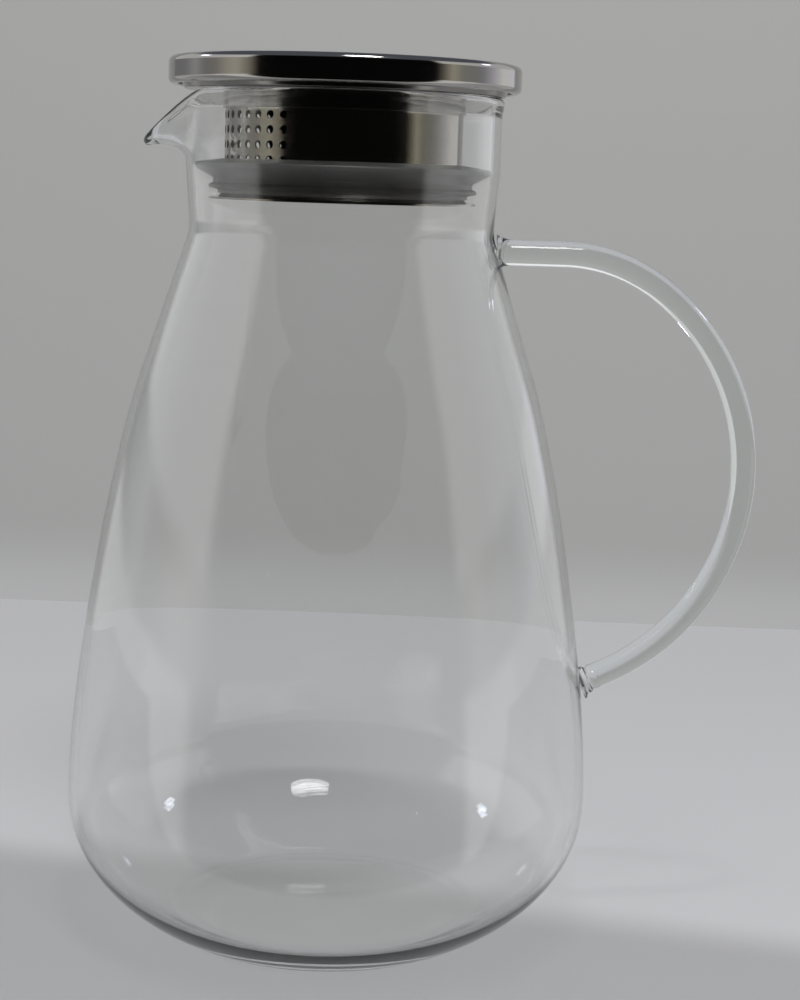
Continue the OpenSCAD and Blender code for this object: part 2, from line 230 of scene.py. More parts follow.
outer = np.vstack([foot_arc[:-1], heel[:-1], flank[:-1], shoulder[:-1], throat[:-1], neck[:-1]])
print("outer profile:", len(outer), "points, throat radius", round(throat_r, 4))

# %%
# The inner profile, the floor and the base
thickening = 4


def glass_t(z):
    """Thickness of the glass: wall + (floor - wall) (1 - z / belly)^4 below the belly."""
    low = np.clip(1 - z / belly_z, 0, 1)
    return wall + (floor_t - wall) * low ** thickening


way = tangents(outer)
inner = outer + glass_t(outer[:, 1:2]) * np.stack([-way[:, 1], way[:, 0]], -1)
dome = np.linspace(1, 0, 32)[1:, None]
floor_top = kick_h + floor_t
floor = np.hstack([dome * inner[0, 0], floor_top + (inner[0, 1] - floor_top) * dome ** 2])
ring_r = foot_r - foot_ring_w
base = np.hstack([dome * ring_r, kick_h * (1 - dome ** 2)])[::-1]
foot_ring = np.linspace([ring_r, 0], [foot_r, 0], 5)[:-1]
print("inner profile:", len(inner), "points, floor", round(floor_top, 4), "m up")

# %% [markdown]
# ## The rim and the spout
# The rim is fire-polished into a round bead, and the spout is pulled out of the hot wall with
# the bead still on it. A section of the rim follows a centre line up to the bead. The centre
# line is upright away from the spout and turned out at its middle, and each azimuth mixes the
# two, so wall, spout and bead stay one surface.

# %%
# Measures and centre lines of the rim
bead_r = 1.25 * MM
spout_reach = 11 * MM
spout_drop = 12 * MM
spout_half_angle = math.radians(36)
spout_point = 1.7
bend_up_share = 0.85
bend_out_share = 0.5
tip_lift_share = 0.08
bead_share = 0.2
rim_n, bead_n = 36, 14

mid_r = neck_r - wall / 2
tip = np.array([neck_r + spout_reach - bead_r, rim_z - spout_drop - bead_r])
lip = np.array([mid_r + bead_r - wall / 2, rim_z - bead_r])
climb = np.linspace(0, 1, rim_n)
thicken = np.clip((climb - 1 + bead_share) / bead_share, 0, 1)
upright = np.stack([mid_r + (lip[0] - mid_r) * thicken, spout_z + (lip[1] - spout_z) * climb], -1)
turned_out = bezier([mid_r, spout_z], [mid_r, spout_z + bend_up_share * (tip[1] - spout_z)],
                    tip + np.array([-bend_out_share * (tip[0] - mid_r),
                                    tip_lift_share * (tip[1] - spout_z)]), tip, rim_n)
half_t = wall / 2 + (bead_r - wall / 2) * thicken
print("spout tip at", tip.round(4), "and rim at", lip.round(4))


# %%
# Sections of the rim
def pull(turn):
    """Share of a section that is turned out, cos^2p of the azimuth from the spout's middle."""
    inside = np.abs(turn) < spout_half_angle
    share = np.cos(np.pi / 2 * turn / spout_half_angle) ** 2
    return np.where(inside, share ** spout_point, 0)


def rim_section(w):
    """Profile of the rim at pull w: up the outer face, round the bead, down the inner face."""
    centre = (1 - w) * upright + w * turned_out
    u = tangents(centre)
    u[0] = (0, 1)
    out = np.stack([u[:, 1], -u[:, 0]], -1)
    a = np.radians(np.linspace(90, -90, bead_n))[1:-1, None]
    bead = centre[-1] + bead_r * (np.sin(a) * out[-1] + np.cos(a) * u[-1])
    return np.vstack([centre + half_t[:, None] * out, bead,
                      (centre - half_t[:, None] * out)[::-1]])


print("rim section:", len(rim_section(0)), "points")

# %% [markdown]
# ## The handle's path
# A solid rod of glass leaves the neck level, turns down through a tight and a wide bend and
# runs straight into the side. Its two joints are found first, because the wall is drawn out a
# little toward the rod where they are fused.

# %%
# The handle's centre line
rod_r = 3.4 * MM
handle_drop = 39.3 * MM
handle_span = 116 * MM
handle_stub = 18 * MM
tight_share = 0.38
wide_share = 0.526
bend_turn = math.radians(52)
bend_end = math.radians(-64)

handle_z = rim_z - handle_drop
tight_r = tight_share * handle_span
wide_r = wide_share * handle_span
tight_c = np.array([neck_r + handle_stub, handle_z - tight_r])
wide_c = tight_c + (tight_r - wide_r) * np.array([math.cos(bend_turn), math.sin(bend_turn)])
bend_pt = wide_c + wide_r * np.array([math.cos(bend_end), math.sin(bend_end)])
end_dir = np.array([math.sin(bend_end), -math.cos(bend_end)])
end_len = 0.0
joint_steps = 20
for _ in range(joint_steps):
    reach = bend_pt + end_len * end_dir
    end_len += (reach[0] - np.interp(reach[1], outer[:, 1], outer[:, 0])) / -end_dir[0]
low_joint = bend_pt + end_len * end_dir
high_joint = np.array([np.interp(handle_z, outer[:, 1], outer[:, 0]), handle_z])
print("joints at", high_joint.round(4), "and", low_joint.round(4))

# %% [markdown]
# ## The glass body
# One closed surface: base, foot, side, rim, inside and floor. A low swelling at each joint
# shows where the wall was softened and drawn out when the rod was fused on, and a faint
# waviness keeps reflections from being machine straight.

# %%
# The body's surface
swell_up = 0.25 * MM
swell_low = 0.4 * MM
swell_w = 6.5 * MM
waver = 0.05 * MM
calm_len = 20 * MM
waves = ((3, 40), (5, -75), (0, 110))


def joint_swell(r, turns, z):
    """Outward swelling h exp(-(d / w)^2), with d the distance across and up to a joint."""
    swell = 0
    across = r * ((turns + np.pi) % (2 * np.pi) - np.pi)
    for joint, h in ((high_joint, swell_up), (low_joint, swell_low)):
        swell = swell + h * np.exp(-(across ** 2 + (z - joint[1]) ** 2) / swell_w ** 2)
    return swell


def wall_waver(turns, z):
    """The mean of sin(n a + k z) over the waves (n, k), for azimuth a, calmed at both ends."""
    calm = np.clip(z / belly_z, 0, 1) * np.clip((throat_z - z) / calm_len, 0, 1)
    wave = sum(np.sin(n * turns + k * z) for n, k in waves)
    return waver * calm * wave / len(waves)


spout_turns = np.linspace(-spout_half_angle, spout_half_angle, 97)
rim_turns = np.linspace(spout_half_angle, 2 * np.pi - spout_half_angle, 241)[1:-1]
turns = np.concatenate([spout_turns, rim_turns])
wrapped = (turns + np.pi) % (2 * np.pi) - np.pi
outside = np.vstack([base, foot_ring, outer])
inside = np.vstack([inner[::-1], floor])
sections = np.stack([np.vstack([outside, rim_section(w), inside]) for w in pull(wrapped)])
azimuths = (np.pi + turns)[:, None]
radius, height = sections[:, :, 0], sections[:, :, 1]
skin = np.arange(sections.shape[1])[None, :] < len(outside)
moved = np.where(height > 0.1 * MM, wall_waver(azimuths, height), 0)
radius = radius - np.abs(moved) + skin * joint_swell(radius, azimuths, height)
body_grid = np.stack([radius * np.cos(azimuths), radius * np.sin(azimuths), height], -1)
body_quads = grid_quads(*body_grid.shape[:2], True, False)
glass_body = mesh_object("glass_body_surface", body_grid.reshape(-1, 3), body_quads.reshape(-1, 4))

# %% [markdown]
# ## The handle
# The rod is a circle carried along the path. It flares where it is fused to the wall, and the
# lower joint keeps the ridges of the glass that was pushed against the side.

# %%
# The rod's surface
flare_len = 4 * MM
flare_grow = 1.3 * MM
ridge_h = 0.35 * MM
ridge_step = 1.9 * MM
ridge_len = 6 * MM
rod_sides = 64

line = np.vstack([np.linspace(high_joint, tight_c + [0, tight_r], 60)[:-1],
                  arc(tight_c, tight_r, 90, math.degrees(bend_turn), 60)[:-1],
                  arc(wide_c, wide_r, math.degrees(bend_turn), math.degrees(bend_end), 160)[:-1],
                  np.linspace(bend_pt, low_joint, 70)])
run = np.concatenate([[0], np.cumsum(np.linalg.norm(np.diff(line, axis=0), axis=1))])
to_end = np.minimum(run, run[-1] - run)
to_low = run[-1] - run
rod = rod_r + flare_grow * np.clip(1 - to_end / flare_len, 0, 1) ** 2
ridges = np.clip(1 - to_low / ridge_len, 0, 1) * np.sin(2 * np.pi * to_low / ridge_step)
rod = rod + ridge_h * ridges
forward = tangents(line)
side_dir = np.stack([forward[:, 1], -forward[:, 0]], -1)


def with_ends(values):
    """A row with each end value twice more, for the rings that close a tube."""
    return np.concatenate([values[:1], values[:1], values, values[-1:], values[-1:]])


end_ring = 0.7
shrink = np.concatenate([[0, end_ring], np.ones(len(line)), [end_ring, 0]])
spread = (with_ends(rod) * shrink)[:, None]
ring = np.linspace(0, 2 * np.pi, rod_sides, endpoint=False)[None, :]
across = spread * np.cos(ring)
middle, sideways = with_ends(line), with_ends(side_dir)
rod_grid = np.stack([middle[:, :1] + across * sideways[:, :1], spread * np.sin(ring),
                     middle[:, 1:] + across * sideways[:, 1:]], -1)
rod_quads = grid_quads(*rod_grid.shape[:2], False, True)
glass_handle = mesh_object("glass_handle_surface", rod_grid.reshape(-1, 3),
                           rod_quads.reshape(-1, 4))
print("handle length", round(float(run[-1]), 4), "m")

# %% [markdown]
# ## The lid
# The cap is a shallow dish of sheet steel whose edge is rolled under. The underplate is
# pressed to sit on the rim and drops into a collar that holds the strainer. Both are turned
# from a closed profile of the sheet.

# %%
# The cap
sheet = 0.6 * MM
cap_low, cap_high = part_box("lid_cap")
cap_r, hem_z, cap_top = cap_high[0], cap_low[2], cap_high[2]
hem_w = 2.3 * MM
hem_t = 2 * sheet
tray_z = hem_z + hem_t
cap_profile = rounded(
    [(0, cap_top), (cap_r, cap_top), (cap_r, hem_z), (cap_r - hem_w, hem_z),
     (cap_r - hem_w, tray_z), (cap_r - sheet, tray_z), (cap_r - sheet, cap_top - sheet),
     (0, cap_top - sheet)],
    [0, 1.6 * MM, 1.5 * MM, 0.4 * MM, 0.4 * MM, 0.1 * MM, 1.0 * MM, 0], closed=False)
lid_cap = turned_piece("lid_cap_surface", cap_profile, closed=False)

# %%
# The underplate
plate_low, plate_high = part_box("lid_underplate")
tray_r = plate_high[0]
collar_end = plate_low[2]
seat_z = rim_z + 0.2 * MM
seat_r = neck_r + 0.5 * MM
slope_r = cap_r - hem_w - 0.8 * MM
band_r = 30.9 * MM
collar_in = band_r + 0.05 * MM
collar_out = collar_in + sheet
plate_profile = rounded(
    [(tray_r, tray_z), (slope_r, tray_z), (seat_r, seat_z), (collar_out, seat_z),
     (collar_out, collar_end), (collar_in, collar_end), (collar_in, seat_z + sheet),
     (seat_r - sheet / 2, seat_z + sheet), (slope_r - sheet / 2, tray_z + sheet),
     (tray_r, tray_z + sheet)],
    [0.1 * MM, 0.5 * MM, 0.5 * MM, 1.0 * MM, 0.2 * MM, 0.2 * MM, 1.6 * MM, 0.5 * MM,
     0.5 * MM, 0.1 * MM])
lid_underplate = turned_piece("lid_underplate_surface", plate_profile)

# %% [markdown]
# ## The strainer sleeve
# The sleeve is a thin steel band with four rows of punched holes on the spout's side and a
# flare at its foot. Cutting the holes with booleans would break up the smooth shading, so the
# band is a grid whose cells are planned round the holes: each hole takes a block of four by
# four cells, and rings of quads join the block's edge to the hole and line its wall. The inside
# and the walls of the holes are marked by a face attribute, and the finish paints them nearly
# black: painted shade in these recesses.

# %%
# The band's profile and its grid
strain_low, strain_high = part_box("strainer")
flare_z, flare_r = strain_low[2], strain_high[0]
band_t = 0.5 * MM
band_in = band_r - band_t
flare_h = 1.8 * MM
hole_r = 1.05 * MM
hole_cols, hole_rows = 18, 4
hole_pitch = 3.7 * MM
hole_top = 6.4 * MM
cells = 4
columns = 200
sharp_edge = math.radians(40)
hole_z = seat_z - hole_top - hole_pitch * np.arange(hole_rows)
row_z = np.linspace(hole_z[0] + hole_pitch / 2, hole_z[-1] - hole_pitch / 2, cells * hole_rows + 1)
bend = np.radians(np.linspace(0, 90, 10))[:, None]
flare_out = np.hstack([band_r + (flare_r - band_r) * (1 - np.cos(bend)),
                       flare_z + band_t + flare_h * (1 - np.sin(bend))])
flare_in = np.hstack([band_in + (flare_r - band_in) * (1 - np.cos(bend)),
                      flare_z + flare_h * (1 - np.sin(bend))])
outer_rows = np.stack([np.full(len(row_z), band_r), row_z], -1)
inner_rows = np.stack([np.full(len(row_z), band_in), row_z[::-1]], -1)
band_profile = np.vstack([[[band_r, strain_high[2]]], outer_rows, flare_out,
                          flare_in[::-1], inner_rows, [[band_in, strain_high[2]]]])
first_out = 1
first_in = 1 + len(outer_rows) + len(flare_out) + len(flare_in)
band_turns = np.linspace(0, 2 * np.pi, columns, endpoint=False)
band_grid = spin(band_profile, band_turns)
band_n = len(band_profile)
print("band:", columns, "columns of", band_n, "points")

# %%
# The punched holes
start_col = columns // 2 - cells * hole_cols // 2
loop = np.array([(i, 0) for i in range(cells)] + [(cells, j) for j in range(cells)]
                + [(cells - i, cells) for i in range(cells)]
                + [(0, cells - j) for j in range(cells)])
hole_c, hole_r_no = (v.reshape(-1, 1) for v in np.meshgrid(range(hole_cols), range(hole_rows)))
loop_col = start_col + cells * hole_c + loop[None, :, 0]
loop_row = cells * hole_r_no + loop[None, :, 1]
edge_out = loop_col * band_n + first_out + loop_row
edge_in = loop_col * band_n + first_in + cells * hole_rows - loop_row
cell_w, cell_h = band_r * 2 * np.pi / columns, hole_pitch / cells
aim = unit(np.stack([(loop[:, 0] - cells / 2) * cell_w, (cells / 2 - loop[:, 1]) * cell_h], -1))
hole_turn = band_turns[start_col] + (hole_c + 0.5) * cells * 2 * np.pi / columns


def hole_ring(r):
    """Points of each hole's circle on the cylinder of radius r about the jug's axis."""
    a = hole_turn + np.arcsin(hole_r * aim[None, :, 0] / r)
    z = hole_z[hole_r_no] + hole_r * aim[None, :, 1]
    return np.stack([r * np.cos(a), r * np.sin(a), z + 0 * a], -1).reshape(-1, 3)


def ribbon(a, b):
    """Quads between two rows of loops of point numbers, each loop closed on itself."""
    return np.stack([a, np.roll(a, -1, 1), np.roll(b, -1, 1), b], -1).reshape(-1, 4)


count = band_grid.shape[0] * band_n
ring_out = count + np.arange(edge_out.size).reshape(edge_out.shape)
ring_in = ring_out + edge_out.size
keep = np.ones((columns, band_n), bool)
hole_span = slice(start_col, start_col + cells * hole_cols)
keep[hole_span, first_out:first_out + cells * hole_rows] = False
keep[hole_span, first_in:first_in + cells * hole_rows] = False
band_quads = grid_quads(columns, band_n, True, True)[keep]
band_faces = np.vstack([band_quads, ribbon(edge_out, ring_out), ribbon(ring_out, ring_in),
                        ribbon(ring_in, edge_in)])
band_points = np.vstack([band_grid.reshape(-1, 3), hole_ring(band_r), hole_ring(band_in)])
used, renumbered = np.unique(band_faces, return_inverse=True)
strainer = mesh_object("strainer_surface", band_points[used], renumbered.reshape(-1, 4))
strainer.data.set_sharp_from_angle(angle=sharp_edge)
# The sleeve's inside and the walls of its holes are marked for painted shade, painted nearly
# black.
inner_side = np.broadcast_to(np.arange(band_n) >= first_in - len(flare_in), keep.shape)[keep]
unpolished = np.concatenate([inner_side, np.zeros(loop_col.size), np.ones(2 * loop_col.size)])
marked = strainer.data.attributes.new("unpolished", "FLOAT", "FACE")
marked.data.foreach_set("value", unpolished.astype(np.float32))
print("holes:", hole_cols * hole_rows, "and unpolished faces:", int(unpolished.sum()))

# %% [markdown]
# ## The seal
# A moulded ring of soft translucent silicone slips over the sleeve. Its wide upper lip presses
# on the neck, the waist below it lets the lip bend, and a small lower lip guides it in.

# %%
# The seal's profile
seal_low, seal_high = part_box("seal_ring")
seal_z, seal_top, lip_r = seal_low[2], seal_high[2], seal_high[0]
bore_r = band_r + 0.1 * MM
lip_t = 1.3 * MM
lip_top = seal_top - 0.12 * (seal_top - seal_z)
seal_foot_h = 0.9 * MM
seal_foot_w = 1.5 * MM
low_z = seal_z + seal_foot_h
waist_z = low_z + 1.8 * MM
waist_r = bore_r + 2.8 * MM
low_lip_r = bore_r + 3.9 * MM
seal_profile = rounded(
    [(bore_r, low_z), (bore_r + seal_foot_h, seal_z), (bore_r + seal_foot_w, seal_z),
     (bore_r + seal_foot_w, low_z), (low_lip_r, low_z + 0.5 * MM),
     (low_lip_r, low_z + 1.3 * MM), (waist_r, waist_z), (waist_r, waist_z + 1.2 * MM),
     (lip_r, lip_top - lip_t), (lip_r, lip_top), (bore_r, seal_top)],
    [0.15 * MM, 0.15 * MM, 0.15 * MM, 0.15 * MM, 0.3 * MM, 0.3 * MM, 0.3 * MM, 0.4 * MM,
     0.45 * MM, 0.4 * MM, 0.25 * MM])
seal_ring = turned_piece("seal_ring_surface", seal_profile)

# %% [markdown]
# ## Shared effects
# Two effects are used by more than one finish. The turned grain is the fine rings that
# brushing leaves on a piece that spins under the brush. The cloudy mask is a soft uneven value,
# for handling marks on steel, the mottle of silicone and the tone of the stage.

# %%
# Node helpers
def place(tree, kind, at=(0, 0), **settings):
    """A node of this kind with its settings, at a place in the editor."""
    node = tree.nodes.new(kind)
    node.location = at
    for key, value in settings.items():
        setattr(node, key, value)
    return node


def new_group(name, inputs, outputs):
    """An empty shader group with float or vector sockets, and its input and output nodes."""
    tree = bpy.data.node_groups.new(name, "ShaderNodeTree")
    kinds = {"value": "NodeSocketFloat", "vector": "NodeSocketVector"}
    for socket, kind, value in inputs:
        made = tree.interface.new_socket(socket, in_out="INPUT", socket_type=kinds[kind])
        if value is not None:
            made.default_value = value
    for socket, kind in outputs:
        tree.interface.new_socket(socket, in_out="OUTPUT", socket_type=kinds[kind])
    return tree, place(tree, "NodeGroupInput", (-900, 0)), place(tree, "NodeGroupOutput", (600, 0))


# %%
# The turned grain
grain_tree, grain_in, grain_out = new_group(
    "turned_grain", [("Position", "vector", None), ("Rings per Metre", "value", 3000.0),
                     ("Wander", "value", 6.0)], [("Height", "value"), ("Tone", "value")])
link = grain_tree.links.new
axes = place(grain_tree, "ShaderNodeSeparateXYZ", (-700, 0))
flat = place(grain_tree, "ShaderNodeCombineXYZ", (-700, -200))
length = place(grain_tree, "ShaderNodeVectorMath", (-500, -200), operation="LENGTH")
out_rings = place(grain_tree, "ShaderNodeMath", (-300, -100), operation="MULTIPLY")
up_rings = place(grain_tree, "ShaderNodeMath", (-300, 100), operation="MULTIPLY")
drift_x = place(grain_tree, "ShaderNodeMath", (-300, 300), operation="MULTIPLY")
spot = place(grain_tree, "ShaderNodeCombineXYZ", (-100, 0))
fine = place(grain_tree, "ShaderNodeTexNoise", (100, 100))
fine.inputs["Scale"].default_value = 1.0
fine.inputs["Detail"].default_value = 2.0
link(grain_in.outputs["Position"], axes.inputs["Vector"])
link(axes.outputs["X"], flat.inputs["X"])
link(axes.outputs["Y"], flat.inputs["Y"])
link(flat.outputs["Vector"], length.inputs[0])
link(length.outputs["Value"], out_rings.inputs[0])
link(grain_in.outputs["Rings per Metre"], out_rings.inputs[1])
link(axes.outputs["Z"], up_rings.inputs[0])
link(grain_in.outputs["Rings per Metre"], up_rings.inputs[1])
link(axes.outputs["X"], drift_x.inputs[0])
link(grain_in.outputs["Wander"], drift_x.inputs[1])
link(out_rings.outputs["Value"], spot.inputs["X"])
link(up_rings.outputs["Value"], spot.inputs["Y"])
link(drift_x.outputs["Value"], spot.inputs["Z"])
link(spot.outputs["Vector"], fine.inputs["Vector"])
link(fine.outputs["Fac"], grain_out.inputs["Height"])
link(fine.outputs["Fac"], grain_out.inputs["Tone"])
print("group:", grain_tree.name)

# %%
# The cloudy mask
cloud_tree, cloud_in, cloud_out = new_group(
    "cloudy_mask", [("Position", "vector", None), ("Scale", "value", 60.0),
                    ("Low", "value", 0.0), ("High", "value", 1.0)], [("Mask", "value")])
link = cloud_tree.links.new
cloud = place(cloud_tree, "ShaderNodeTexNoise", (-300, 0))
cloud.inputs["Detail"].default_value = 3.0
level = place(cloud_tree, "ShaderNodeMapRange", (0, 0))
level.inputs["From Min"].default_value = 0.35
level.inputs["From Max"].default_value = 0.65
link(cloud_in.outputs["Position"], cloud.inputs["Vector"])
link(cloud_in.outputs["Scale"], cloud.inputs["Scale"])
link(cloud.outputs["Fac"], level.inputs["Value"])
link(cloud_in.outputs["Low"], level.inputs["To Min"])
link(cloud_in.outputs["High"], level.inputs["To Max"])
link(level.outputs["Result"], cloud_out.inputs["Mask"])
print("group:", cloud_tree.name)

# %% [markdown]
# ## Glass
# Clear borosilicate glass with hardly any tint. A renderer gives solid glass a black shadow
# unless it traces caustics, so a shadow ray or a scattered ray meets a clear film instead. The
# film takes a little more light where the ray grazes the wall, and so the walls and the heel
# shade the table while the middle stays light.

# %%
# The glass material
glass_ior = 1.47
film_edge = (0.84, 0.85, 0.845, 1)


def new_material(name):
    """An empty node material with its Principled shader, its output and its coordinates."""
    material = bpy.data.materials.new(name)
    material.use_nodes = True
    tree = material.node_tree
    tree.nodes.clear()
    out = place(tree, "ShaderNodeOutputMaterial", (700, 0))
    shell = place(tree, "ShaderNodeBsdfPrincipled", (200, 0))
    spot = place(tree, "ShaderNodeTexCoord", (-900, 0))
    return material, tree, out, shell, spot


def glass_material(name, tint, shadow_tint, wave_scale, wave_depth):
    """Clear glass with a faint waviness, and a film from shadow_tint to film_edge by facing^5."""
    material, tree, out, shell, spot = new_material(name)
    link = tree.links.new
    shell.inputs["Base Color"].default_value = tint
    shell.inputs["Roughness"].default_value = 0.0
    shell.inputs["IOR"].default_value = glass_ior
    shell.inputs["Transmission Weight"].default_value = 1.0
    wave = place(tree, "ShaderNodeTexNoise", (-600, -300))
    wave.inputs["Scale"].default_value = wave_scale
    wave.inputs["Detail"].default_value = 1.0
    bump = place(tree, "ShaderNodeBump", (-200, -300))
    bump.inputs["Strength"].default_value = 1.0
    bump.inputs["Distance"].default_value = wave_depth
    link(spot.outputs["Object"], wave.inputs["Vector"])
    link(wave.outputs["Fac"], bump.inputs["Height"])
    link(bump.outputs["Normal"], shell.inputs["Normal"])
    graze = place(tree, "ShaderNodeLayerWeight", (-600, 400))
    power = place(tree, "ShaderNodeMath", (-400, 400), operation="POWER")
    power.inputs[1].default_value = 5
    film = place(tree, "ShaderNodeMix", (-200, 400), data_type="RGBA")
    film.inputs[6].default_value = shadow_tint
    film.inputs[7].default_value = film_edge
    clear = place(tree, "ShaderNodeBsdfTransparent", (200, 300))
    path = place(tree, "ShaderNodeLightPath", (0, 600))
    soft = place(tree, "ShaderNodeMath", (200, 600), operation="MAXIMUM")
    mix = place(tree, "ShaderNodeMixShader", (500, 0))
    link(path.outputs["Is Shadow Ray"], soft.inputs[0])
    link(path.outputs["Is Diffuse Ray"], soft.inputs[1])
    link(graze.outputs["Facing"], power.inputs[0])
    link(power.outputs["Value"], film.inputs[0])
    link(film.outputs[2], clear.inputs["Color"])
    link(soft.outputs[0], mix.inputs["Fac"])
    link(shell.outputs["BSDF"], mix.inputs[1])
    link(clear.outputs["BSDF"], mix.inputs[2])
    link(mix.outputs["Shader"], out.inputs["Surface"])
    return material


clear_glass = glass_material("clear_glass", (0.965, 0.97, 0.964, 1), (0.975, 0.98, 0.976, 1),
                             30.0, 0.00002)
rod_glass = glass_material("rod_glass", (0.97, 0.995, 0.985, 1), (0.85, 0.87, 0.86, 1),
                           90.0, 0.00003)
print("glass:", clear_glass.name, rod_glass.name)

# %% [markdown]
# ## Steel
# The lid is stainless steel, brushed while it turns and then polished until it mirrors the
# room. The grain drives a fine bump and a slight change of tone, and the cloudy mask makes the
# polish uneven, as handling does. The colour is darker than real stainless steel, because one
# room of light has to serve both steel and glass.

# %%
# The steel material
# A near-black tone: painted shade for the strainer's inside and the walls of its holes.
painted_shade_tone = (0.05, 0.05, 0.045, 1)
grain_shade = 0.94
marks_low, marks_high = 0.85, 1.25


def steel_material(name, colour, roughness, grain_depth, rings, painted_shade_inside=False):
    """Polished stainless steel with turned grain and marks, and painted shade inside where asked.
    """
    material, tree, out, shell, spot = new_material(name)
    link = tree.links.new
    shell.inputs["Metallic"].default_value = 1.0
    grain = place(tree, "ShaderNodeGroup", (-600, 0), node_tree=grain_tree)
    grain.inputs["Rings per Metre"].default_value = rings
    marks = place(tree, "ShaderNodeGroup", (-600, -300), node_tree=cloud_tree)
    marks.inputs["Scale"].default_value = 45.0
    marks.inputs["Low"].default_value = roughness * marks_low
    marks.inputs["High"].default_value = roughness * marks_high
    tone = place(tree, "ShaderNodeMix", (-200, 200), data_type="RGBA")
    tone.inputs[6].default_value = tuple(grain_shade * c for c in colour[:3]) + (1,)
    tone.inputs[7].default_value = colour
    bump = place(tree, "ShaderNodeBump", (-200, -500))
    bump.inputs["Strength"].default_value = 1.0
    bump.inputs["Distance"].default_value = grain_depth
    link(spot.outputs["Object"], grain.inputs["Position"])
    link(spot.outputs["Object"], marks.inputs["Position"])
    link(grain.outputs["Tone"], tone.inputs[0])
    # Marked faces get the near-black tone, painted shade in the sleeve's recesses.
    if painted_shade_inside:
        marked = place(tree, "ShaderNodeAttribute", (-400, 500), attribute_name="unpolished")
        darker = place(tree, "ShaderNodeMix", (0, 300), data_type="RGBA")
        darker.inputs[7].default_value = painted_shade_tone
        link(marked.outputs["Fac"], darker.inputs[0])
        link(tone.outputs[2], darker.inputs[6])
        tone = darker
    link(tone.outputs[2], shell.inputs["Base Color"])
    link(marks.outputs["Mask"], shell.inputs["Roughness"])
    link(grain.outputs["Height"], bump.inputs["Height"])
    link(bump.outputs["Normal"], shell.inputs["Normal"])
    link(shell.outputs["BSDF"], out.inputs["Surface"])
    return material


cap_steel = steel_material("cap_steel", (0.4, 0.39, 0.37, 1), 0.09, 0.0000015, 3000.0)
# The underplate's darker colour is painted shade, for the shade under the cap; its rougher polish
# is a finish.
plate_steel = steel_material("plate_steel", (0.25, 0.243, 0.23, 1), 0.14, 0.000001, 2500.0)
strainer_steel = steel_material("strainer_steel", (0.4, 0.387, 0.355, 1), 0.08, 0.000001, 3500.0,
                                painted_shade_inside=True)
print("steel:", cap_steel.name, plate_steel.name, strainer_steel.name)

# %% [markdown]
# ## Silicone
# The seal is frosted silicone, which lets light through like milky glass. Its colour goes by
# height, darker at the foot and pale at the wide upper lip, and the cloudy mask mottles it.

# %%
# The silicone material
def silicone_material(name, colour, foot_colour):
    """Translucent silicone with a satin skin, darker at the foot and pale at the upper lip."""
    material, tree, out, shell, spot = new_material(name)
    link = tree.links.new
    shell.inputs["IOR"].default_value = 1.41
    shell.inputs["Transmission Weight"].default_value = 0.9
    axes = place(tree, "ShaderNodeSeparateXYZ", (-700, 300))
    depth = place(tree, "ShaderNodeMapRange", (-500, 300))
    depth.inputs["From Min"].default_value = seal_z
    depth.inputs["From Max"].default_value = seal_top
    tone = place(tree, "ShaderNodeMix", (-200, 300), data_type="RGBA")
    tone.inputs[6].default_value = foot_colour
    tone.inputs[7].default_value = colour
    link(spot.outputs["Object"], axes.inputs["Vector"])
    link(axes.outputs["Z"], depth.inputs["Value"])
    link(depth.outputs["Result"], tone.inputs[0])
    link(tone.outputs[2], shell.inputs["Base Color"])
    mottle = place(tree, "ShaderNodeGroup", (-600, -200), node_tree=cloud_tree)
    mottle.inputs["Scale"].default_value = 300.0
    mottle.inputs["Low"].default_value = 0.3
    mottle.inputs["High"].default_value = 0.42
    bump = place(tree, "ShaderNodeBump", (-200, -300))
    bump.inputs["Distance"].default_value = 0.00002
    link(spot.outputs["Object"], mottle.inputs["Position"])
    link(mottle.outputs["Mask"], shell.inputs["Roughness"])
    link(mottle.outputs["Mask"], bump.inputs["Height"])
    link(bump.outputs["Normal"], shell.inputs["Normal"])
    link(shell.outputs["BSDF"], out.inputs["Surface"])
    return material


seal_silicone = silicone_material("seal_silicone", (0.62, 0.62, 0.62, 1), (0.13, 0.12, 0.105, 1))
print("silicone:", seal_silicone.name)

# %% [markdown]
# ## Finishes and bodies
# Each surface gets its finish, and so does the solid that it replaces. It rides on the body
# that carries it when a joint moves.

# %%
# Dress every piece and the solid that it stands for, hide the solid, and hang the piece on its
# body
def dress(piece, material):
    """Gives the piece this material alone."""
    piece.data.materials.clear()
    piece.data.materials.append(material)


for piece, node, body, material, slot in (
        (glass_body, "glass_body", "jug", clear_glass, "clear_glass"),
        (glass_handle, "glass_handle", "jug", rod_glass, "rod_glass"),
        (lid_cap, "lid_cap", "lid", cap_steel, "cap_steel"),
        (lid_underplate, "lid_underplate", "lid", plate_steel, "underplate_steel"),
        (strainer, "strainer", "lid", strainer_steel, "strainer_steel"),
        (seal_ring, "seal_ring", "seal", seal_silicone, "seal_silicone")):
    dress(piece, material)
    dress(bpy.data.objects[node], material)
    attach(piece, body)
    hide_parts(node)
    print(piece.name, "rides on", body, "as", slot)

# %% [markdown]
# ## Stage
# The jug stands on a pale satin table in front of a plain wall that is turned by nearly four
# degrees. The table's front part and its far sides hide from rays that reach them by way of
# steel or glass, so reflections show the room there. Rays through the jug are among them, so
# from behind, that part is missing inside the jug's outline. The wall is narrow for the look
# of the handle, so its edge shows in turned views. Scattered rays pass it.
#
# Two tones are painted and not cast. The wall's foot is paler, where a real table would light
# it, and the table's near part is darker, where a shadow lies in the photograph. A lamp and a
# screen could cast that shadow, but they would change the light on the glass as well.

